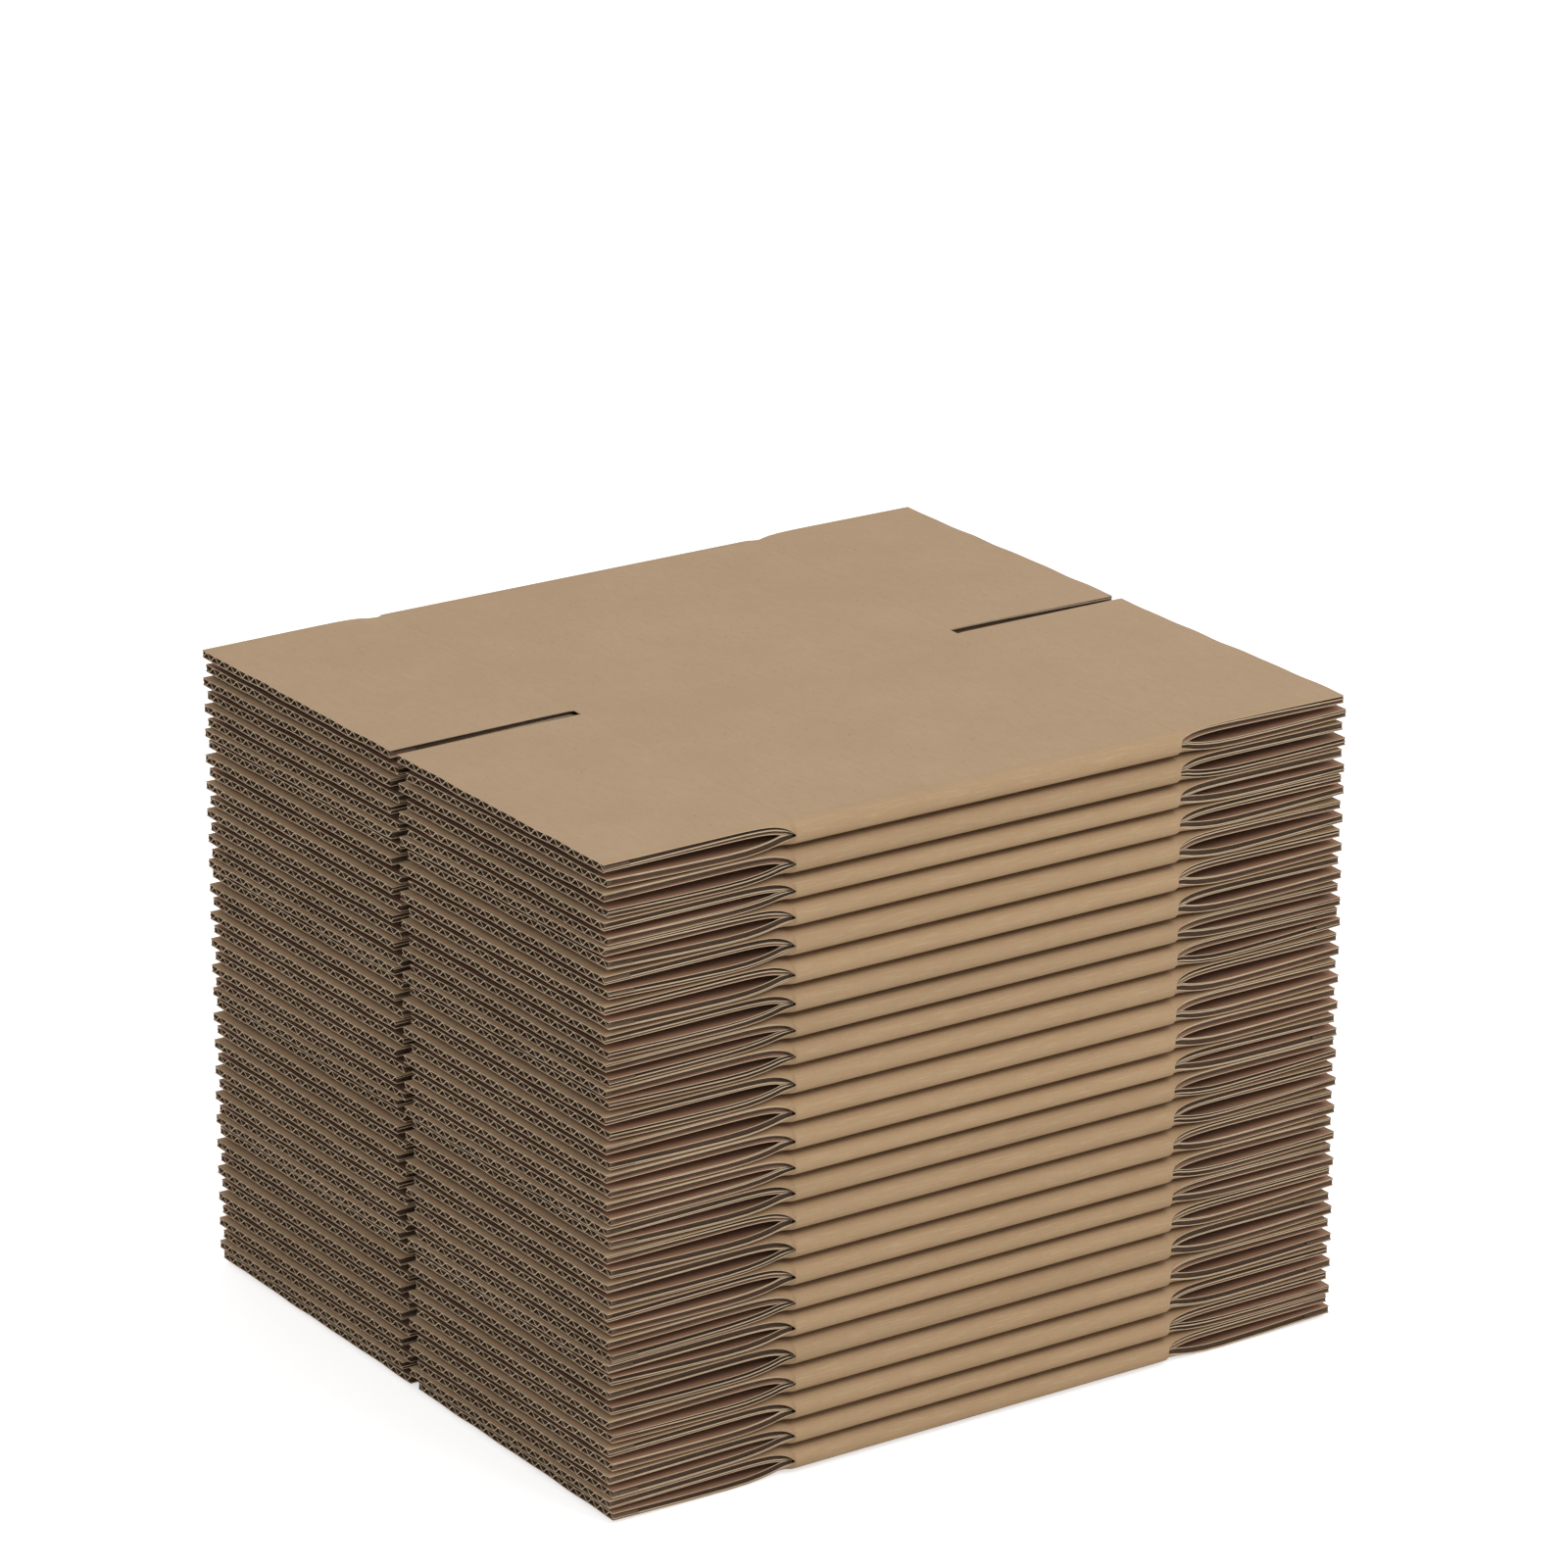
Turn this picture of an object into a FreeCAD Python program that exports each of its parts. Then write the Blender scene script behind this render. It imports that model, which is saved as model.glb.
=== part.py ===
"""A stack of flattened corrugated boxes.

Each box is one glued tube of single-wall board, folded flat at two opposite scores, with four flaps at
each end of the tube. The boxes lie one on another in line. X runs along the flutes, from flaps to flaps,
Y runs from fold to fold, and Z runs up. The origin is the middle of the stack's footprint, on the ground.
"""
import FreeCAD, Part
import os

import Sketcher

# Sizes in millimetres, one named cell each on the sheet.
SIZES = {
    "box_count": 24,
    "board": 3.2,
    "panel_width": 155.5,
    "body_depth": 183,
    "flap_length": 84.5,
    "slot_width": 6,
    "leaf_length": 22,
    "layer_shift": 1.6,
    "joint_offset": 3.5,
    "joint_seam": 1.5,
    "tab_width": 35,
    "spring_a": 1.3,
    "spring_b": 0.5,
    "spring_c": 1.7,
    "spring_d": 1.9,
    "spring_e": 2.2,
    "rest_gap": 0.3,
}

# No two neighbours are pressed equally flat: these five springs of the folds repeat up the stack.
SPRINGS = ("spring_a", "spring_b", "spring_c", "spring_d", "spring_e")

# Places along and across a box that several features share, on the side of the positive axis.
SCORE = "Sizes.body_depth / 2"
LEAF_END = "(Sizes.body_depth / 2 + Sizes.leaf_length)"
FLAP_END = "(Sizes.body_depth / 2 + Sizes.flap_length)"
SLOT_END = "(Sizes.body_depth / 2 + Sizes.flap_length + Sizes.layer_shift)"
FOLD = "Sizes.panel_width"
HALF_SLOT = "Sizes.slot_width / 2"
JOINT = "-Sizes.joint_offset"


def add_sheet(doc):
    """Write the driving dimensions to the sheet."""
    sheet = doc.addObject("Spreadsheet::Sheet", "Sizes")
    for row, (name, value) in enumerate(SIZES.items(), start=1):
        sheet.set(f"A{row}", name)
        sheet.set(f"B{row}", str(value))
        sheet.setAlias(f"B{row}", name)
    doc.recompute()
    return sheet


def box_height(spring):
    """A box is three boards deep at its glued tab, and its folds spring open a little more."""
    return f"(3 * Sizes.board + Sizes.{spring})"


def add_sketch(body, name, role, height="0"):
    """Attach a new sketch to one of the body's origin planes, at a height along the plane's normal."""
    sketch = body.newObject("Sketcher::SketchObject", f"{body.Name}_{name}_sketch")
    plane = next(item for item in body.Origin.OriginFeatures if item.Role == role)
    sketch.AttachmentSupport = [(plane, "")]
    sketch.MapMode = "FlatFace"
    sketch.setExpression("AttachmentOffset.Base.z", height)
    return sketch


def value_of(sketch, expression):
    """Work out an expression on the sheet, to draw an edge about where its constraints will hold it."""
    return float(sketch.evalExpression(expression))


def add_constraints(sketch, joins, dimensions):
    """Join the edges, then hold one coordinate of an edge's end to each expression."""
    constraints = [Sketcher.Constraint(*join) for join in joins]
    for kind, edge, end, expression in dimensions:
        constraints.append(Sketcher.Constraint(kind, edge, end, value_of(sketch, expression)))
    indices = sketch.addConstraint(constraints)
    for index, (kind, edge, end, expression) in zip(indices[len(joins):], dimensions):
        sketch.setExpression(f"Constraints[{index}]", expression)


def add_outline(sketch, corners):
    """Draw a closed outline of straight edges through corners given as pairs of expressions."""
    points = [FreeCAD.Vector(value_of(sketch, x), value_of(sketch, y), 0) for x, y in corners]
    first = sketch.GeometryCount
    edges = list(range(first, first + len(corners)))
    sketch.addGeometry([Part.LineSegment(*ends) for ends in zip(points, points[1:] + points[:1])])
    joins = [("Coincident", before, 2, edge, 1) for before, edge in zip(edges[-1:] + edges, edges)]
    dimensions = []
    for edge, (x, y) in zip(edges, corners):
        dimensions += [("DistanceX", edge, 1, x), ("DistanceY", edge, 1, y)]
    add_constraints(sketch, joins, dimensions)


def add_rectangle(sketch, left, right, low, high):
    """Draw an upright rectangle between four expressions."""
    add_outline(sketch, [(left, low), (right, low), (right, high), (left, high)])


def add_round_folds(sketch, height):
    """Draw the tube's outside: two level liners, joined by a half circle at each fold."""
    radius = value_of(sketch, f"{height} / 2")
    bend = value_of(sketch, f"{FOLD} - {height} / 2")
    top_right = FreeCAD.Vector(bend, 2 * radius, 0)
    bottom_right = FreeCAD.Vector(bend, 0, 0)
    top_left = FreeCAD.Vector(-bend, 2 * radius, 0)
    bottom_left = FreeCAD.Vector(-bend, 0, 0)
    right_fold = FreeCAD.Vector(bend + radius, radius, 0)
    left_fold = FreeCAD.Vector(-bend - radius, radius, 0)
    bottom, right, top, left = range(4)
    sketch.addGeometry([
        Part.LineSegment(bottom_left, bottom_right),
        Part.Arc(bottom_right, right_fold, top_right),
        Part.LineSegment(top_right, top_left),
        Part.Arc(top_left, left_fold, bottom_left),
    ])
    joins = [
        ("Tangent", bottom, 2, right, 1),
        ("Tangent", right, 2, top, 1),
        ("Tangent", top, 2, left, 1),
        ("Tangent", left, 2, bottom, 1),
        ("Horizontal", bottom),
        ("Horizontal", top),
    ]
    dimensions = [
        ("DistanceX", right, 3, f"{FOLD} - {height} / 2"),
        ("DistanceX", left, 3, f"{height} / 2 - {FOLD}"),
        ("DistanceY", bottom, 1, "0"),
        ("DistanceY", top, 1, height),
    ]
    add_constraints(sketch, joins, dimensions)


def add_creased_inside(sketch, height):
    """Draw the tube's inside: the liners stay a board inwards, and crease to a point at each fold."""
    bend = f"({FOLD} - {height} / 2)"
    crease = f"({FOLD} - Sizes.board)"
    inner_top = f"{height} - Sizes.board"
    add_outline(sketch, [
        (f"-{bend}", "Sizes.board"),
        (bend, "Sizes.board"),
        (crease, f"{height} / 2"),
        (bend, inner_top),
        (f"-{bend}", inner_top),
        (f"-{crease}", f"{height} / 2"),
    ])


def add_pad(body, sketch, length, side_type):
    """Raise a sketch into board."""
    pad = body.newObject("PartDesign::Pad", sketch.Name.replace("_sketch", ""))
    pad.Profile = sketch
    pad.SideType = side_type
    pad.setExpression("Length", length)


def add_pocket(body, sketch, side_type, upward=False, depth=None):
    """Cut a sketch out of the board, to a depth or right through."""
    pocket = body.newObject("PartDesign::Pocket", sketch.Name.replace("_sketch", ""))
    pocket.Profile = sketch
    pocket.SideType = side_type
    pocket.Reversed = upward
    if depth is None:
        pocket.Type = "ThroughAll"
        pocket.Type2 = "ThroughAll"
    else:
        pocket.setExpression("Length", depth)


def add_tube(body, height):
    """The four panels make a flat tube, and its folds stay sprung a little way past the scores."""
    sketch = add_sketch(body, "tube", "YZ_Plane")
    add_round_folds(sketch, height)
    add_creased_inside(sketch, height)
    add_pad(body, sketch, f"2 * {LEAF_END}", "Symmetric")


def add_leaves(body, height):
    """Past the scores each fold opens like a leaf, from a point to the full space between its flaps."""
    sketch = add_sketch(body, "leaves", "XZ_Plane")
    for side in ("", "-"):
        tip = (f"{side}{SCORE}", f"{height} / 2")
        mouth = f"{side}{LEAF_END}"
        add_outline(sketch, [tip, (mouth, "Sizes.board"), (mouth, f"{height} - Sizes.board")])
    add_pocket(body, sketch, "Two sides")


def add_flaps(body, name, low, high, slide):
    """One layer's flaps run on from its panels, and the whole layer's ends are slid along X."""
    sketch = add_sketch(body, name, "XZ_Plane")
    for side in ("", "-"):
        add_rectangle(sketch, f"{side}{LEAF_END}", f"{side}{FLAP_END} + ({slide})", low, high)
    add_pad(body, sketch, f"2 * {FOLD}", "Symmetric")


def add_fold_slots(body):
    """At the folds the flaps are cut back by half a slot, which their edges reach along the leaf."""
    sketch = add_sketch(body, "fold_slots", "XY_Plane")
    for side in ("", "-"):
        root = f"{side}{SCORE}"
        spread = f"{side}{LEAF_END}"
        end = f"{side}{SLOT_END}"
        for fold in ("", "-"):
            line = f"{fold}{FOLD}"
            edge = f"{fold}({FOLD} - {HALF_SLOT})"
            clear = f"{fold}({FOLD} + {HALF_SLOT})"
            add_outline(sketch, [(root, line), (spread, edge), (end, edge), (end, clear), (root, clear)])
    add_pocket(body, sketch, "Two sides")


def add_middle_slots(body, name, height, line, upward):
    """The slots between one layer's flaps, cut from the space inside the tube outwards."""
    sketch = add_sketch(body, name, "XY_Plane", f"{height} / 2")
    for side in ("", "-"):
        root = f"{side}{SCORE}"
        end = f"{side}{SLOT_END}"
        add_rectangle(sketch, root, end, f"{line} - {HALF_SLOT}", f"{line} + {HALF_SLOT}")
    add_pocket(body, sketch, "One side", upward)


def add_tab(body):
    """The glued tab reaches from one lower panel over the other, inside the tube."""
    sketch = add_sketch(body, "tab", "XY_Plane", "Sizes.board")
    root = f"{JOINT} - Sizes.joint_seam / 2 - Sizes.board"
    add_rectangle(sketch, f"-{SCORE}", SCORE, root, f"{JOINT} + Sizes.tab_width")
    add_pad(body, sketch, "Sizes.board", "One side")


def add_seam(body):
    """The two lower panels stand a seam apart under the tab."""
    sketch = add_sketch(body, "seam", "XY_Plane")
    half_seam = "Sizes.joint_seam / 2"
    add_rectangle(sketch, f"-{SCORE}", SCORE, f"{JOINT} - {half_seam}", f"{JOINT} + {half_seam}")
    add_pocket(body, sketch, "One side", upward=True, depth="Sizes.board")


def add_box(doc, number, spring):
    """Build one flattened box, with the underside of its lower layer at height zero."""
    body = doc.addObject("PartDesign::Body", f"flat_box_{number:02d}")
    body.Label = body.Name
    height = box_height(spring)
    inner_top = f"{height} - Sizes.board"
    add_tube(body, height)
    add_leaves(body, height)
    add_flaps(body, "upper_flaps", inner_top, height, "-Sizes.layer_shift / 2")
    add_flaps(body, "lower_flaps", "0", "Sizes.board", "Sizes.layer_shift / 2")
    add_fold_slots(body)
    add_middle_slots(body, "upper_slots", height, "0", upward=True)
    add_middle_slots(body, "lower_slots", height, JOINT, upward=False)
    add_tab(body)
    add_seam(body)
    return body


def add_stack(doc, sheet):
    """Lay each box on the one below it."""
    boxes = []
    for number in range(1, int(sheet.box_count) + 1):
        spring = SPRINGS[(number - 1) % len(SPRINGS)]
        box = add_box(doc, number, spring)
        if boxes:
            below, below_spring = boxes[-1]
            rise = f"({box_height(below_spring)} + Sizes.rest_gap) * 1 mm"
            box.setExpression("Placement.Base.z", f"{below.Name}.Placement.Base.z + {rise}")
        boxes.append((box, spring))
    return [box for box, spring in boxes]


def check(doc, boxes):
    """Stop if an object failed, or if a cut left its box as it was."""
    for item in doc.Objects:
        if "Invalid" in item.State or "Error" in item.State:
            raise RuntimeError(f"{item.Name} failed: {item.State}")
        if item.isDerivedFrom("PartDesign::Pocket") and item.Shape.Volume >= item.BaseFeature.Shape.Volume:
            raise RuntimeError(f"{item.Name} cuts nothing")
    for box in boxes:
        if box.Shape.isNull() or not box.Shape.isValid() or len(box.Shape.Solids) != 1:
            raise RuntimeError(f"{box.Name} is not one sound solid")


def main():
    doc = FreeCAD.newDocument("flattened_box_stack")
    sheet = add_sheet(doc)
    boxes = add_stack(doc, sheet)
    doc.recompute()
    check(doc, boxes)
    os.makedirs("parts", exist_ok=True)
    for box in boxes:
        box.Shape.exportStep(f"parts/{box.Label}.step")


main()
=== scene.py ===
import math

import bpy
import numpy as np
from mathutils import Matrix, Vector


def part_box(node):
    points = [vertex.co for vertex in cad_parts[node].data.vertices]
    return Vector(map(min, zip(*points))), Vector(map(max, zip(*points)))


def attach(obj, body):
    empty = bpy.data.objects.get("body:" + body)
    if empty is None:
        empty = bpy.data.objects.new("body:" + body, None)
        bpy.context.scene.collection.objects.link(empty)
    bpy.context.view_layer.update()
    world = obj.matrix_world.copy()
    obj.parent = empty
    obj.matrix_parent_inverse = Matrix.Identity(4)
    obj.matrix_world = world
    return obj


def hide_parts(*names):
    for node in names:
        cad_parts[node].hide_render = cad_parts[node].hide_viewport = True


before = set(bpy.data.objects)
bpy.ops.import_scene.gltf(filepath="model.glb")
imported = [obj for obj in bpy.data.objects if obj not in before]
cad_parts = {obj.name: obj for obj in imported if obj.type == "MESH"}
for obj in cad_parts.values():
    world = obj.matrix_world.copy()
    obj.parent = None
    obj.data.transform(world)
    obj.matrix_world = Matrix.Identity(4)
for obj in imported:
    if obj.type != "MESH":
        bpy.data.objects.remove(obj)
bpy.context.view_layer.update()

MM = 0.001
BOX_COUNT = 24
SEED = 900

# Sizes and places of one flattened box, in metres from its middle. The flutes run along x, and the folds lie
# at both ends of y.
BOARD = 3.2 * MM
LINER = 0.29 * MM
FOLD = 155.5 * MM
SCORE = 91.5 * MM
LEAF_END = 113.5 * MM
FLAP_END = 176 * MM
FLAP_EDGE = 152.5 * MM
HALF_SLOT = 3 * MM
LAYER_SHIFT = 1.6 * MM
JOINT = -3.5 * MM
HALF_SEAM = 0.75 * MM
TAB_ROOT = -7.45 * MM
TAB_TIP = 31.5 * MM
GLUE_LINE = 0.02 * MM
TRIM_SPREAD = 0.35 * MM

# The fluted medium between the liners: its waves, its paper, and how far its cut edge lies behind theirs.
FLUTE_PITCH = 6.5 * MM
FLUTE_STEPS = 8
FLUTE_SKEW = 0.014
MEDIUM = 0.38 * MM
MEDIUM_INSET = 0.12 * MM

# How far into the board the flutes are built, from a cut end and from a flap's side. Over the last stretch of
# a side, towards the flap's corner, its groove grows shallow.
END_GRAIN = 12 * MM
SIDE_GROOVE = 1.8 * MM
CORNER_GROOVE = 0.35 * MM
CORNER = 4 * MM

# A fold is tighter than the box between its folds. Over its last stretch the upper panel dips to the fold,
# and the lower panel rises to it.
FOLD_DIP = {"upper": 0.5 * MM, "lower": 1.5 * MM}
FOLD_REACH = 30 * MM

# How the flaps part beside a fold: the strip that curls, how soon past the score the round fold and the cut
# side are left behind, how soon each layer's flap lies flat, and the least gap between them.
FOLD_ZONE = 12 * MM
TIP_RUN = 0.4 * MM
CUT_BACK_RUN = 2.2 * MM
FLAP_OPENING = {"upper": (0.92, 5 * MM), "lower": (0.86, 11 * MM)}
TIP_GAP = 0.15 * MM

# The flaps lean together towards their ends, to about this gap, and their edges wander a little. In every
# fifth box they are squeezed closer, which leaves a wider sliver of light below it.
FLAP_GAP = 3.2 * MM
SQUEEZED_GAP = 2.1 * MM
SQUEEZED_EVERY = 5
UPPER_LEAN = 0.45 * MM
FLAP_WAVE = 0.3 * MM
WAVE_LENGTHS = (18 * MM, 7 * MM, 4.4 * MM)
WAVE_SHARE = 0.4

# The pressed scores.
SCORE_DENT = 0.22 * MM
SCORE_SPREAD = 1.3 * MM

# Where the mesh has its rows and columns.
LEVEL_COLUMNS = 27
CURL_COLUMNS = 10
FLAP_ROWS = np.array([0, 0.25, 0.6, 1.2, 2.2, 3.6, 5.4, 8, 11, 15, 21, 30]) * MM
SCORE_ROWS = np.array([0, 0.7, 1.6, 3, 12, 40]) * MM
SHARP_ANGLE = math.radians(38)

# How fine the paper's patterns are: the scales of their noise.
CLOUD_SCALE = 22
FIBRE_SCALE = 420
SPECK_SCALE = 1100
STREAK_SCALE = 1300

# The studio.
FLOOR_SIZE = 14
FLOOR_GLOW = 0.62
ROOM_LIGHT = 0.74

# Finishes, in the order of the material slots.
OUTSIDE, INSIDE, CUT, FLUTED = range(4)


class Patchwork:
    """Collects patches of quads, each a grid of points, for one mesh."""

    def __init__(self):
        self.points = []
        self.quads = []
        self.finishes = []
        self.count = 0

    def add(self, x, y, z, finish, facing):
        """Add a grid of points whose faces look towards facing."""
        grid = np.stack(np.broadcast_arrays(x, y, z), axis=-1)
        rows, columns, _ = grid.shape
        index = np.arange(rows * columns).reshape(rows, columns) + self.count
        quads = np.stack([index[:-1, :-1], index[1:, :-1], index[1:, 1:], index[:-1, 1:]], axis=-1)
        along = grid[1:, :-1] - grid[:-1, :-1]
        across = grid[:-1, 1:] - grid[:-1, :-1]
        if np.cross(along, across).sum(axis=(0, 1)) @ np.array(facing) < 0:
            quads = quads[..., ::-1]
        self.points.append(grid.reshape(-1, 3))
        self.quads.append(quads.reshape(-1, 4))
        self.finishes.append(np.full((rows - 1) * (columns - 1), finish))
        self.count += rows * columns

    def mesh(self, name):
        """Weld the patches into a mesh with smooth faces and crisp cut edges."""
        mesh = bpy.data.meshes.new(name)
        points = np.round(np.concatenate(self.points), 8)
        welded, places = np.unique(points, axis=0, return_inverse=True)
        quads = places.reshape(-1)[np.concatenate(self.quads)]
        finishes = np.concatenate(self.finishes)
        mesh.from_pydata(welded.tolist(), [], quads.tolist())
        mesh.polygons.foreach_set("material_index", finishes.astype(np.int32))
        mesh.polygons.foreach_set("use_smooth", np.ones(len(quads), dtype=bool))
        mesh.validate()
        mesh.set_sharp_from_angle(angle=SHARP_ANGLE)
        return mesh


class FlatBox:
    """The form of one flattened box: where each point of its board lies."""

    def __init__(self, number):
        self.name = f"flat_box_{number:02d}"
        low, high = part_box(self.name)
        self.bottom = low[2]
        self.height = high[2] - low[2]
        self.fold_radius = (self.height - sum(FOLD_DIP.values())) / 2
        gap = SQUEEZED_GAP if number % SQUEEZED_EVERY == 1 else FLAP_GAP
        self.lean = {"upper": UPPER_LEAN, "lower": self.height - 2 * BOARD - gap - UPPER_LEAN}
        random = np.random.default_rng(SEED + number)
        layers = ("upper", "lower")
        self.waves = {layer: random.uniform(0, 2 * math.pi, (2, 2, len(WAVE_LENGTHS))) for layer in layers}
        self.flute_phase = {layer: random.uniform(0, 2 * math.pi) for layer in layers}
        self.flute_skew = {layer: random.uniform(-FLUTE_SKEW, FLUTE_SKEW) for layer in layers}
        self.trims = random.uniform(0, TRIM_SPREAD, 8)

    def tube(self, layer, v, depth):
        """Across a layer of the folded tube: level, then round the fold to its middle.

        Gives the place across, and how far the point lies inside the box's top or bottom plane.
        """
        fold_centre = FOLD - self.fold_radius
        start = FLAP_EDGE - FOLD_ZONE
        stretch = (fold_centre - start + self.fold_radius * math.pi / 2) / FOLD_ZONE
        run = np.abs(v)
        run = np.where(run > start, start + (run - start) * stretch, run)
        angle = np.clip((run - fold_centre) / self.fold_radius, 0, math.pi / 2)
        sine = np.clip(np.sin(angle), 0, 1)
        cosine = np.clip(np.cos(angle), 0, 1)
        inner = self.fold_radius - depth
        y = np.minimum(run, fold_centre) + inner * sine
        nearness = np.clip((run - fold_centre + FOLD_REACH) / FOLD_REACH, 0, 1)
        drop = FOLD_DIP[layer] * nearness ** 2 * (3 - 2 * nearness) + self.fold_radius - inner * cosine
        return np.sign(v) * y, drop

    def flap_drop(self, layer, past, v):
        """How far inside the box's plane a flap's outer face still lies, at a place past its score."""
        share, run = FLAP_OPENING[layer]
        _, at_score = self.tube(layer, v, 0)
        return at_score * share * np.exp(-past / run)

    def settle(self, layer, x, v):
        """How far a flap leans in towards its end, with a slow wander along its edge."""
        t = np.clip((np.abs(x) - LEAF_END) / (FLAP_END - LEAF_END), 0, 1)
        side = 0 if np.mean(x) < 0 else 1
        half = 0 if np.mean(v) < 0 else 1
        phases = self.waves[layer][side][half]
        wave = sum(WAVE_SHARE * np.sin(v / length + phase) for length, phase in zip(WAVE_LENGTHS, phases))
        return t * np.maximum(self.lean[layer] + FLAP_WAVE * wave, 0)

    def dent(self, x, v):
        """The pressed scores: across the flaps' roots, and along the middle of the body."""
        across = np.exp(-((np.abs(x) - SCORE) / SCORE_SPREAD) ** 2)
        along = np.where(np.abs(x) <= SCORE, np.exp(-(v / SCORE_SPREAD) ** 2), 0)
        away_from_fold = np.clip((FLAP_EDGE - np.abs(v)) / FOLD_ZONE, 0, 1)
        return SCORE_DENT * np.maximum(across, along) * away_from_fold

    def place(self, layer, x, v, depth):
        """The point that is v across a layer and depth inwards from its outer face."""
        x, v, depth = np.broadcast_arrays(x, v, depth)
        past = np.maximum(np.abs(x) - SCORE, 0)
        opening = 1 - np.exp(-past / TIP_RUN)
        upper, lower = (self.flap_drop(each, past, v) for each in ("upper", "lower"))
        thickness = np.minimum(BOARD, (self.height - upper - lower - TIP_GAP) / 2)
        flap_drop = (upper if layer == "upper" else lower) + depth / BOARD * thickness
        tube_y, tube_drop = self.tube(layer, v, depth)
        y = tube_y + (v - tube_y) * (1 - np.exp(-past / CUT_BACK_RUN))
        drop = tube_drop + (flap_drop - tube_drop) * opening
        drop = drop + self.settle(layer, x, v) + self.dent(x, v)
        z = self.height - drop if layer == "upper" else drop
        return x, y, z + self.bottom

    def medium_depth(self, layer, x, v):
        """How deep in the board the middle of the medium runs, and how steep it is there."""
        swing = BOARD / 2 - LINER - MEDIUM / 2
        turn = 2 * math.pi / FLUTE_PITCH
        phase = turn * (v + self.flute_skew[layer] * x) + self.flute_phase[layer]
        return BOARD / 2 + swing * np.sin(phase), swing * turn * np.cos(phase)


def outward(layer):
    """The way a layer's outer face looks."""
    return (0, 0, 1) if layer == "upper" else (0, 0, -1)


def inward(layer):
    """The way a layer's inner face looks."""
    return (0, 0, -1) if layer == "upper" else (0, 0, 1)


def panel_columns(slot_edge, fold_edge):
    """Places across a panel from its slot to its fold, closer together where the board curls."""
    start = math.copysign(FLAP_EDGE - FOLD_ZONE, fold_edge)
    level = np.linspace(slot_edge, start, LEVEL_COLUMNS)
    curl = np.linspace(start, fold_edge, CURL_COLUMNS + 1)[1:]
    return np.concatenate([level, curl])


def flap_rows(side, end):
    """Places along a flap from its score to its end, closer together at the leaf's tip."""
    tip = SCORE + FLAP_ROWS
    rest = np.append(np.linspace(tip[-1], end - END_GRAIN, 3)[1:], end)
    return side * np.concatenate([tip, rest])


def body_rows():
    """Places along the body, closer together beside the scores."""
    return np.concatenate([-SCORE + SCORE_ROWS, [0], SCORE - SCORE_ROWS[::-1]])


def add_liner(patches, box, layer, rows, columns, skin, hidden, finish):
    """A flap's liner: its open face, its hidden face near the end and the sides, and its cut edges."""
    x, v = rows[:, None], columns[None, :]
    end = math.copysign(1, rows[-1])
    skin_facing, hidden_facing = outward(layer), inward(layer)
    if skin > hidden:
        skin_facing, hidden_facing = hidden_facing, skin_facing
    patches.add(*box.place(layer, x, v, skin), finish, skin_facing)
    near_end = rows[-1] - end * np.array([END_GRAIN, 0])
    patches.add(*box.place(layer, near_end[:, None], v, hidden), INSIDE, hidden_facing)
    depths = np.array([skin, hidden])
    patches.add(*box.place(layer, rows[-1], v.T, depths[None, :]), CUT, (end, 0, 0))
    for column, other in ((columns[0], columns[-1]), (columns[-1], columns[0])):
        side = math.copysign(1, column - other)
        patches.add(*box.place(layer, x, column, depths[None, :]), CUT, (0, side, 0))
        groove = column - side * np.array([0, SIDE_GROOVE])
        patches.add(*box.place(layer, x, groove[None, :], hidden), INSIDE, hidden_facing)


def add_medium(patches, box, layer, side, rows, low, high):
    """A stretch of the fluted medium between low and high across a layer, with its cut end."""
    steps = max(2, round(abs(high - low) / FLUTE_PITCH * FLUTE_STEPS))
    v = np.linspace(low, high, steps + 1)[None, :]
    x = rows[:, None]
    middle, slope = box.medium_depth(layer, x, v)
    half = MEDIUM / 2 * np.sqrt(1 + slope ** 2)
    patches.add(*box.place(layer, x, v, middle - half), FLUTED, outward(layer))
    patches.add(*box.place(layer, x, v, middle + half), FLUTED, inward(layer))
    middle, slope = box.medium_depth(layer, rows[-1], v.T)
    half = MEDIUM / 2 * np.sqrt(1 + slope ** 2)
    depth = np.concatenate([middle - half, middle + half], axis=1)
    patches.add(*box.place(layer, rows[-1], v.T, depth), CUT, (side, 0, 0))


def add_side_groove(patches, box, layer, rows, edge, facing):
    """A flap's side, cut along a flute: the medium's cut edge, and the groove behind it."""
    x = rows[:, None]
    front = np.full_like(x, edge - facing * MEDIUM_INSET)
    to_corner = np.clip(np.abs(x - rows[-1]) / CORNER, 0, 1)
    back = edge - facing * (CORNER_GROOVE + (SIDE_GROOVE - CORNER_GROOVE) * to_corner)
    middle, slope = box.medium_depth(layer, x, front)
    half = MEDIUM / 2 * np.sqrt(1 + slope ** 2)
    cut_depths = np.concatenate([middle - half, middle + half], axis=1)
    wall_depths = np.array([[LINER, BOARD - LINER]])
    ledge = np.concatenate([front, back], axis=1)
    patches.add(*box.place(layer, x, front, cut_depths), CUT, (0, facing, 0))
    patches.add(*box.place(layer, x, ledge, middle - half), FLUTED, outward(layer))
    patches.add(*box.place(layer, x, ledge, middle + half), FLUTED, inward(layer))
    patches.add(*box.place(layer, x, back, wall_depths), FLUTED, (0, facing, 0))


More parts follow.
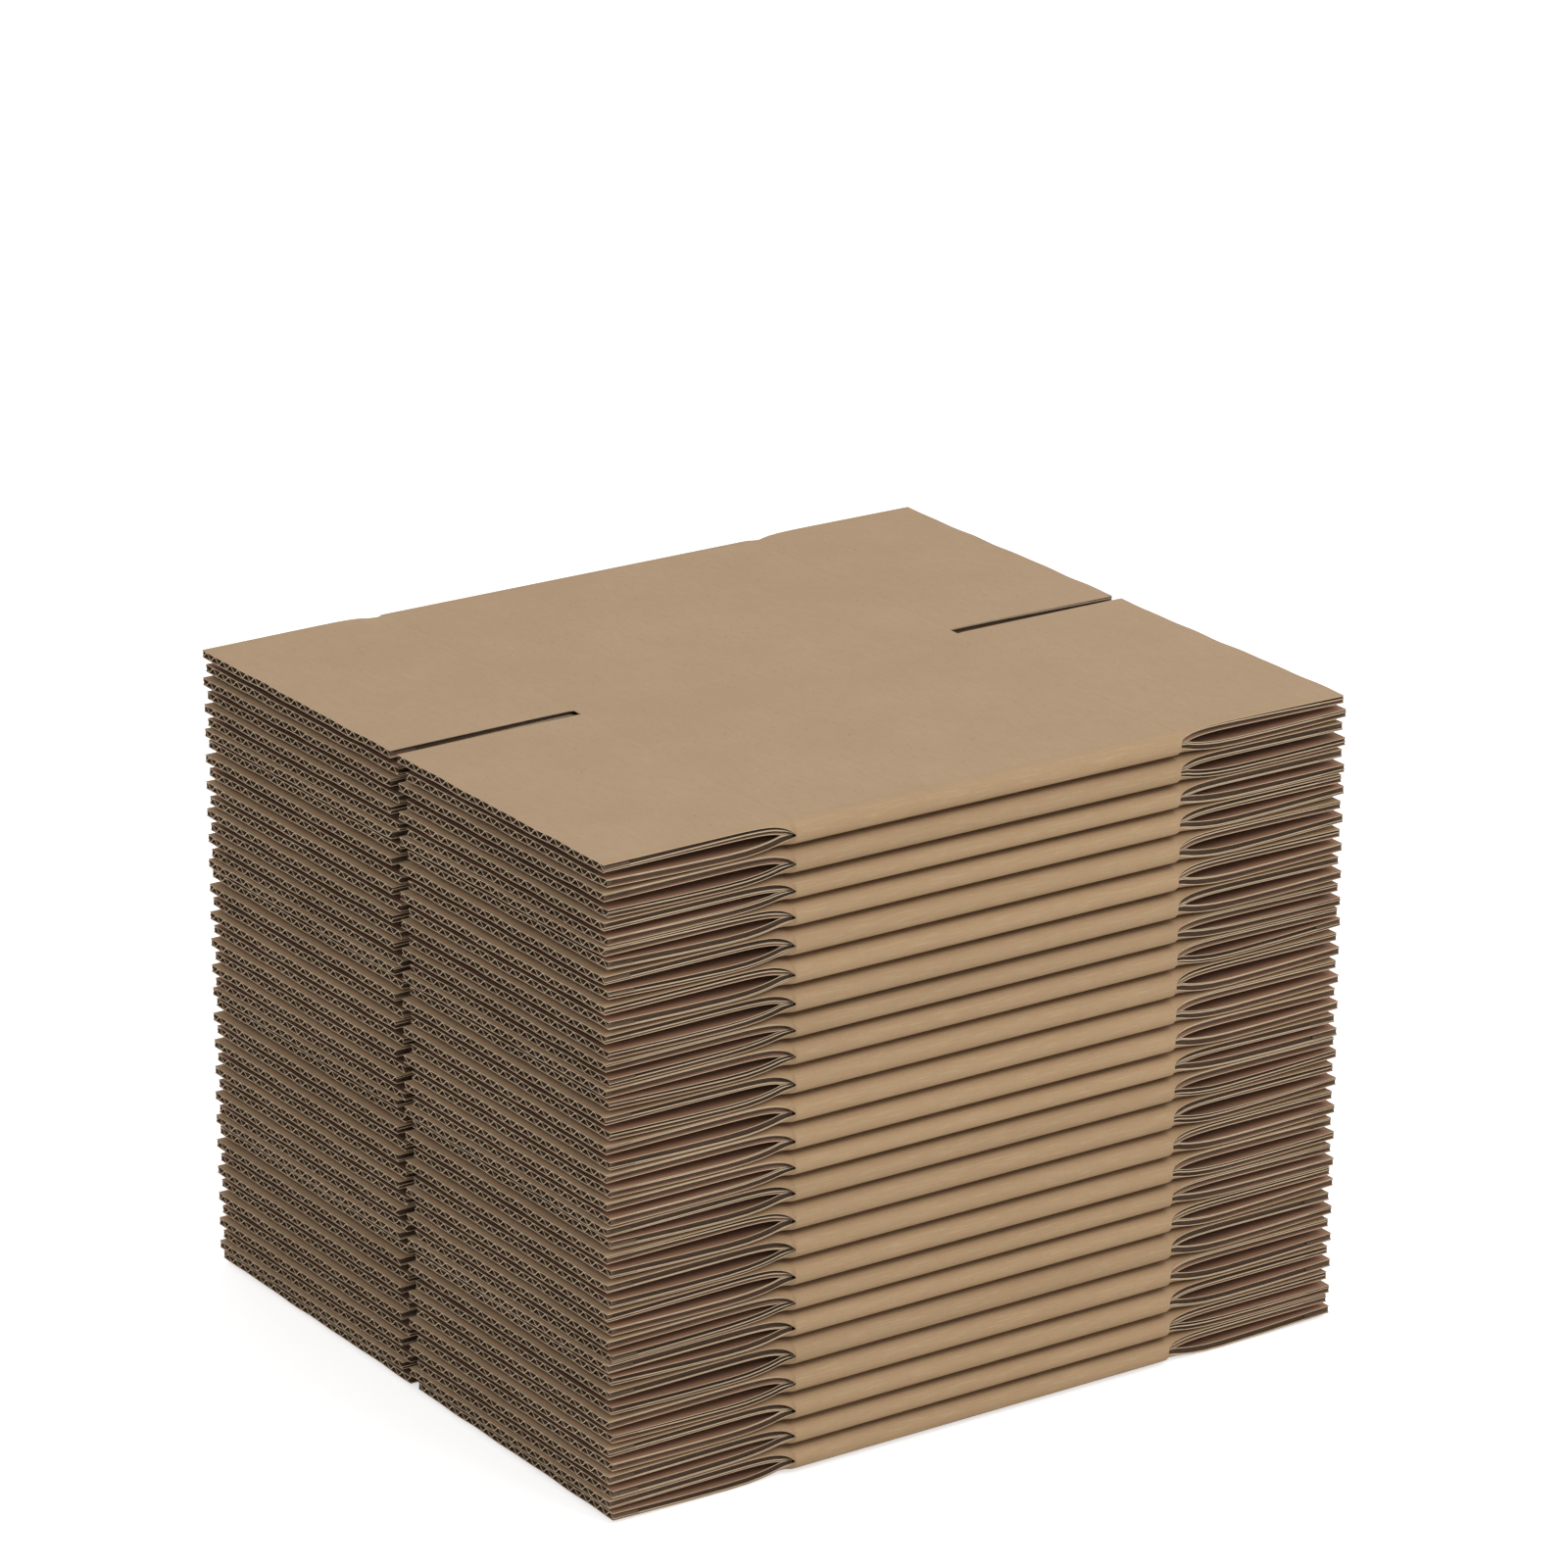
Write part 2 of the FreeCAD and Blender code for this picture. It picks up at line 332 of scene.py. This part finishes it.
def add_flap(patches, box, layer, side, slot_edge, fold_edge, trim):
    """One flap: its two liners, and the medium as far in as it can be seen."""
    shift = -LAYER_SHIFT / 2 if layer == "upper" else LAYER_SHIFT / 2
    end = FLAP_END + side * shift - trim
    rows = flap_rows(side, end)
    columns = panel_columns(slot_edge, fold_edge)
    add_liner(patches, box, layer, rows, columns, 0, LINER, OUTSIDE)
    add_liner(patches, box, layer, rows, columns, BOARD, BOARD - LINER, INSIDE)
    ends = side * np.array([end - END_GRAIN, end - MEDIUM_INSET])
    add_medium(patches, box, layer, side, ends, slot_edge, fold_edge)
    along = np.concatenate([rows[:-1], ends[1] - side * np.array([CORNER, 0])])
    for edge, other in ((slot_edge, fold_edge), (fold_edge, slot_edge)):
        add_side_groove(patches, box, layer, along, edge, math.copysign(1, edge - other))


def add_slot_root(patches, box, layer, side, low, high):
    """The end grain at the bottom of a slot between two flaps."""
    back = SCORE - END_GRAIN / 2
    rows = side * np.array([[back], [SCORE]])
    v = np.linspace(low, high, 5)
    for depths in ([[0, LINER]], [[BOARD - LINER, BOARD]]):
        patches.add(*box.place(layer, side * SCORE, v[:, None], depths), CUT, (side, 0, 0))
    patches.add(*box.place(layer, rows, v[None, :], LINER), INSIDE, inward(layer))
    patches.add(*box.place(layer, rows, v[None, :], BOARD - LINER), INSIDE, outward(layer))
    add_medium(patches, box, layer, side, side * np.array([back, SCORE - MEDIUM_INSET]), low, high)


def add_body(patches, box, upper_columns, lower_columns):
    """The four panels between the scores: an outer and an inner skin, open at the glued joint."""
    x = body_rows()[:, None]
    for depth, finish, facing in ((0, OUTSIDE, outward), (BOARD, INSIDE, inward)):
        patches.add(*box.place("upper", x, upper_columns[None, :], depth), finish, facing("upper"))
        for columns in lower_columns:
            patches.add(*box.place("lower", x, columns[None, :], depth), finish, facing("lower"))
    depths = (0, LINER, BOARD - LINER, BOARD)
    for v, facing in ((JOINT - HALF_SEAM, 1), (JOINT + HALF_SEAM, -1)):
        for start, end, finish in zip(depths[:-1], depths[1:], (CUT, FLUTED, CUT)):
            patches.add(*box.place("lower", x, v, [[start, end]]), finish, (0, facing, 0))


def add_tab(patches, box):
    """The glued tab over the joint, inside the tube."""
    low = box.bottom + BOARD + GLUE_LINE
    high = box.bottom + 2 * BOARD
    x = np.array([[-SCORE], [SCORE]])
    y = np.array([[TAB_ROOT, TAB_TIP]])
    z = np.array([[low, high]])
    patches.add(x, y, high, INSIDE, (0, 0, 1))
    patches.add(x, y, low, OUTSIDE, (0, 0, -1))
    for edge, facing in ((TAB_ROOT, -1), (TAB_TIP, 1)):
        patches.add(x, edge, z, CUT, (0, facing, 0))
    for side in (-1, 1):
        patches.add(side * SCORE, y.T, z, CUT, (side, 0, 0))


def add_flaps(patches, box):
    """The eight flaps, and the slots' roots between them."""
    slots = {"upper": (-HALF_SLOT, HALF_SLOT), "lower": (JOINT - HALF_SLOT, JOINT + HALF_SLOT)}
    trims = iter(box.trims)
    for layer, (slot_low, slot_high) in slots.items():
        for side in (-1, 1):
            add_flap(patches, box, layer, side, slot_low, -FLAP_EDGE, next(trims))
            add_flap(patches, box, layer, side, slot_high, FLAP_EDGE, next(trims))
    for side in (-1, 1):
        add_slot_root(patches, box, "upper", side, -HALF_SLOT, HALF_SLOT)
        add_slot_root(patches, box, "lower", side, JOINT - HALF_SLOT, JOINT - HALF_SEAM)
        add_slot_root(patches, box, "lower", side, JOINT + HALF_SEAM, JOINT + HALF_SLOT)


def add_panels(patches, box):
    """The four panels, with columns that meet those of the flaps."""
    middle = np.linspace(-HALF_SLOT, HALF_SLOT, 7)[1:-1]
    upper = np.concatenate([
        panel_columns(-HALF_SLOT, -FLAP_EDGE)[::-1], middle, panel_columns(HALF_SLOT, FLAP_EDGE),
    ])
    lower = (
        np.append(panel_columns(JOINT - HALF_SLOT, -FLAP_EDGE)[::-1], JOINT - HALF_SEAM),
        np.insert(panel_columns(JOINT + HALF_SLOT, FLAP_EDGE), 0, JOINT + HALF_SEAM),
    )
    add_body(patches, box, upper, lower)


def make_box(number, materials):
    """Build one flattened box in place of its solid."""
    box = FlatBox(number)
    patches = Patchwork()
    add_flaps(patches, box)
    add_panels(patches, box)
    add_tab(patches, box)
    name = f"box_{number:02d}_board"
    piece = bpy.data.objects.new(name, patches.mesh(name))
    bpy.context.scene.collection.objects.link(piece)
    for material in materials:
        piece.data.materials.append(material)
    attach(piece, "root")
    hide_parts(box.name)


def srgb(red, green, blue):
    """A colour given as 0 to 255 on screen, as the linear values a socket takes."""
    def linear(value):
        value = value / 255
        return value / 12.92 if value <= 0.04045 else ((value + 0.055) / 1.055) ** 2.4
    return linear(red), linear(green), linear(blue), 1


def new_material(name):
    """An empty node material with a principled shader."""
    material = bpy.data.materials.new(name)
    material.use_nodes = True
    tree = material.node_tree
    tree.nodes.clear()
    output = tree.nodes.new("ShaderNodeOutputMaterial")
    shader = tree.nodes.new("ShaderNodeBsdfPrincipled")
    tree.links.new(shader.outputs["BSDF"], output.inputs["Surface"])
    return material, tree, shader


def connect(tree, value, socket):
    """Link a value to a socket, or set it there if it is plain."""
    if isinstance(value, bpy.types.NodeSocket):
        tree.links.new(value, socket)
    else:
        socket.default_value = value


def add_math(tree, operation, *values):
    """A calculation on values, each a socket or a number."""
    node = tree.nodes.new("ShaderNodeMath")
    node.operation = operation
    for value, socket in zip(values, node.inputs):
        connect(tree, value, socket)
    return node.outputs["Value"]


def add_noise(tree, scale, detail, stretch=(1, 1, 1), roughness=0.5):
    """Noise in the object's own metres, stretched along an axis where asked."""
    position = tree.nodes.new("ShaderNodeTexCoord")
    mapping = tree.nodes.new("ShaderNodeMapping")
    mapping.inputs["Scale"].default_value = stretch
    noise = tree.nodes.new("ShaderNodeTexNoise")
    noise.inputs["Scale"].default_value = scale
    noise.inputs["Detail"].default_value = detail
    noise.inputs["Roughness"].default_value = roughness
    tree.links.new(position.outputs["Object"], mapping.inputs["Vector"])
    tree.links.new(mapping.outputs["Vector"], noise.inputs["Vector"])
    return noise.outputs["Fac"]


def add_range(tree, value, low, high, to_low=0.0, to_high=1.0):
    """Map a value between two limits to another range."""
    node = tree.nodes.new("ShaderNodeMapRange")
    node.inputs["From Min"].default_value = low
    node.inputs["From Max"].default_value = high
    node.inputs["To Min"].default_value = to_low
    node.inputs["To Max"].default_value = to_high
    tree.links.new(value, node.inputs["Value"])
    return node.outputs["Result"]


def add_mix(tree, factor, first, second):
    """Mix two colours, each a socket or a value, by a factor socket."""
    node = tree.nodes.new("ShaderNodeMix")
    node.data_type = "RGBA"
    tree.links.new(factor, node.inputs["Factor"])
    colour_sockets = [socket for socket in node.inputs if socket.type == "RGBA"]
    for colour, socket in zip((first, second), colour_sockets):
        connect(tree, colour, socket)
    return next(socket for socket in node.outputs if socket.type == "RGBA")


def add_place_across(tree):
    """The place across a box, in metres."""
    position = tree.nodes.new("ShaderNodeTexCoord")
    split = tree.nodes.new("ShaderNodeSeparateXYZ")
    tree.links.new(position.outputs["Object"], split.inputs["Vector"])
    return split.outputs["Y"]


def add_across(tree, start, end, to_high=1.0):
    """0 over the middle of a box, rising to a limit between two distances across it."""
    distance = add_math(tree, "ABSOLUTE", add_place_across(tree))
    return add_range(tree, distance, start, end, to_high=to_high)


def add_fold_wear_and_highlight(tree, tone):
    """The yellower skin round a fold, and pale streaks along the fold's crest: partly the bend's opened
    fibres, partly a painted highlight along the bulge.
    """
    yellower = add_across(tree, FOLD - 9 * MM, FOLD - 2 * MM, to_high=0.45)
    tone = add_mix(tree, yellower, tone, srgb(178, 146, 106))
    # Painted highlight, partly real fibre wear: pale streaks along the crest of the fold.
    near_fold = add_across(tree, FOLD - 6 * MM, FOLD - 1.5 * MM)
    streaks = add_noise(tree, STREAK_SCALE, detail=3, stretch=(0.06, 1.0, 1.0), roughness=0.65)
    share = add_math(tree, "MULTIPLY", near_fold, add_range(tree, streaks, 0.5, 0.7, to_high=0.38))
    return add_mix(tree, share, tone, srgb(204, 180, 142))


def add_painted_gap_light(tree, tone):
    """Painted light: the inner face is paler beside a flap's cut side, where light reaches in between the
    flaps.
    """
    painted_light_beside_cut = add_across(tree, FLAP_EDGE - 11 * MM, FLAP_EDGE - 2 * MM, to_high=0.7)
    return add_mix(tree, painted_light_beside_cut, tone, srgb(182, 140, 112))


def add_paper_tone(tree, fibres, light, dark, speck, speck_share):
    """Cloudy brown paper with darker fibres and a few specks."""
    clouds = add_noise(tree, CLOUD_SCALE, detail=3)
    specks = add_noise(tree, SPECK_SCALE, detail=2, stretch=(1.0, 0.5, 1.0), roughness=0.6)
    tone = add_mix(tree, add_range(tree, clouds, 0.3, 0.7, to_low=0.1, to_high=0.6), light, dark)
    tone = add_mix(tree, add_range(tree, fibres, 0.35, 0.7, to_high=0.45), tone, dark)
    return add_mix(tree, add_range(tree, specks, 0.66, 0.74, to_high=speck_share), tone, speck)


def add_own_shade(tree, tone):
    """Make each box a little lighter or darker than its neighbours."""
    own = tree.nodes.new("ShaderNodeObjectInfo")
    shade = tree.nodes.new("ShaderNodeHueSaturation")
    value = add_range(tree, own.outputs["Random"], 0, 1, to_low=0.95, to_high=1.04)
    tree.links.new(value, shade.inputs["Value"])
    tree.links.new(tone, shade.inputs["Color"])
    return shade.outputs["Color"]


def add_bump(tree, height, strength, depth):
    """A bump node of a strength and a depth in metres, for a height socket."""
    bump = tree.nodes.new("ShaderNodeBump")
    bump.inputs["Strength"].default_value = strength
    bump.inputs["Distance"].default_value = depth
    tree.links.new(height, bump.inputs["Height"])
    return bump


def add_washboard(tree, strength):
    """The faint ridges that the flutes print through a liner."""
    turn = add_math(tree, "MULTIPLY", add_place_across(tree), 2 * math.pi / FLUTE_PITCH)
    ridges = add_bump(tree, add_math(tree, "SINE", turn), strength, 0.05 * MM)
    return ridges.outputs["Normal"]


def paper_material(name, light, dark, speck, speck_share, grain, washboard=0.0, wear_and_light=None):
    """Brown paper: cloudy tone, fibres across the flutes, specks, and a rough uneven skin."""
    material, tree, shader = new_material(name)
    fibres = add_noise(tree, FIBRE_SCALE, detail=4, stretch=(1.0, 0.28, 1.0), roughness=0.65)
    tone = add_paper_tone(tree, fibres, light, dark, speck, speck_share)
    # Wear and painted light, where a finish has them: fold wear with a painted highlight, or painted light
    # beside the flaps' cut sides.
    if wear_and_light:
        tone = wear_and_light(tree, tone)
    skin = add_bump(tree, fibres, grain, 0.12 * MM)
    if washboard:
        tree.links.new(add_washboard(tree, washboard), skin.inputs["Normal"])
    shader.inputs["Specular IOR Level"].default_value = 0.25
    tree.links.new(add_own_shade(tree, tone), shader.inputs["Base Color"])
    tree.links.new(add_range(tree, fibres, 0.3, 0.7, to_low=0.78, to_high=0.92), shader.inputs["Roughness"])
    tree.links.new(skin.outputs["Normal"], shader.inputs["Normal"])
    return material


def make_materials():
    """The finishes, in the order of the slots."""
    # The outer liner, with fold wear and a painted highlight along the folds.
    outside = paper_material(
        "kraft_outside", light=srgb(186, 158, 128), dark=srgb(175, 147, 116), speck=srgb(120, 90, 64),
        speck_share=0.45, grain=0.35, washboard=0.25, wear_and_light=add_fold_wear_and_highlight)
    # The inner liner is darker and redder than the outer: partly its own paper, partly painted shade for the
    # faces inside the tube and between the flaps, with painted light beside the cut sides.
    inside = paper_material(
        "kraft_inside_with_painted_shade", light=srgb(138, 108, 87), dark=srgb(120, 91, 72), speck=srgb(84, 58, 42),
        speck_share=0.4, grain=0.5, wear_and_light=add_painted_gap_light)
    cut = paper_material(
        "cut_liner", light=srgb(214, 193, 162), dark=srgb(184, 162, 134), speck=srgb(104, 84, 66),
        speck_share=0.4, grain=0.8)
    # The medium is painted darker than its own paper: painted shade that deepens the flutes' voids, the side
    # grooves and their back walls.
    fluted = paper_material(
        "fluted_medium_with_painted_shade", light=srgb(118, 96, 78), dark=srgb(88, 69, 54), speck=srgb(62, 46, 34),
        speck_share=0.4, grain=0.7)
    return [outside, inside, cut, fluted]


def add_floor():
    """A wide pale floor that keeps the stack's soft shadow and looks white."""
    bpy.ops.mesh.primitive_plane_add(size=FLOOR_SIZE, location=(0, 0, 0))
    floor = bpy.context.object
    floor.name = "studio_floor"
    material, tree, shader = new_material("studio_white")
    shader.inputs["Base Color"].default_value = (0.8, 0.8, 0.8, 1)
    shader.inputs["Roughness"].default_value = 0.9
    shader.inputs["Emission Color"].default_value = (1, 1, 1, 1)
    path = tree.nodes.new("ShaderNodeLightPath")
    seen = add_math(tree, "MAXIMUM", path.outputs["Is Camera Ray"], path.outputs["Is Glossy Ray"])
    seen = add_math(tree, "MAXIMUM", seen, path.outputs["Is Transmission Ray"])
    tree.links.new(add_math(tree, "MULTIPLY", seen, FLOOR_GLOW), shader.inputs["Emission Strength"])
    floor.data.materials.append(material)


def add_area_light(name, location, target, size, power):
    """A soft square lamp that looks at a point."""
    lamp = bpy.data.lights.new(name, "AREA")
    lamp.size = size
    lamp.energy = power
    item = bpy.data.objects.new(name, lamp)
    bpy.context.scene.collection.objects.link(item)
    item.location = location
    item.rotation_euler = (Vector(location) - Vector(target)).to_track_quat("Z", "Y").to_euler()


def add_light():
    """Plain soft studio light: an even room, and one large lamp from the front right."""
    world = bpy.data.worlds.new("studio")
    bpy.context.scene.world = world
    world.use_nodes = True
    background = world.node_tree.nodes["Background"]
    background.inputs["Color"].default_value = (1, 1, 1, 1)
    background.inputs["Strength"].default_value = ROOM_LIGHT
    add_area_light("key_lamp", location=(0.9, -2.2, 2.6), target=(0, 0, 0.12), size=1.6, power=30)


def add_camera():
    """The photograph's view of the stack."""
    yaw, pitch = math.radians(-33.94), math.radians(19.62)
    distance = 2752 * MM
    target = Vector((7.3 * MM, 0, 223 * MM))
    focal_pixels = 6888.5
    picture_pixels = 1600
    sensor = 36
    back = Vector((math.sin(yaw) * math.cos(pitch), -math.cos(yaw) * math.cos(pitch), math.sin(pitch)))
    camera = bpy.data.cameras.new("photo_camera")
    camera.sensor_width = sensor
    camera.lens = focal_pixels / picture_pixels * sensor
    item = bpy.data.objects.new("photo_camera", camera)
    bpy.context.scene.collection.objects.link(item)
    item.location = target + back * distance
    item.rotation_euler = back.to_track_quat("Z", "Y").to_euler()
    bpy.context.scene.camera = item


def main():
    bpy.context.scene.view_settings.view_transform = "Standard"
    add_camera()
    add_light()
    add_floor()
    materials = make_materials()
    for number in range(1, BOX_COUNT + 1):
        make_box(number, materials)


main()
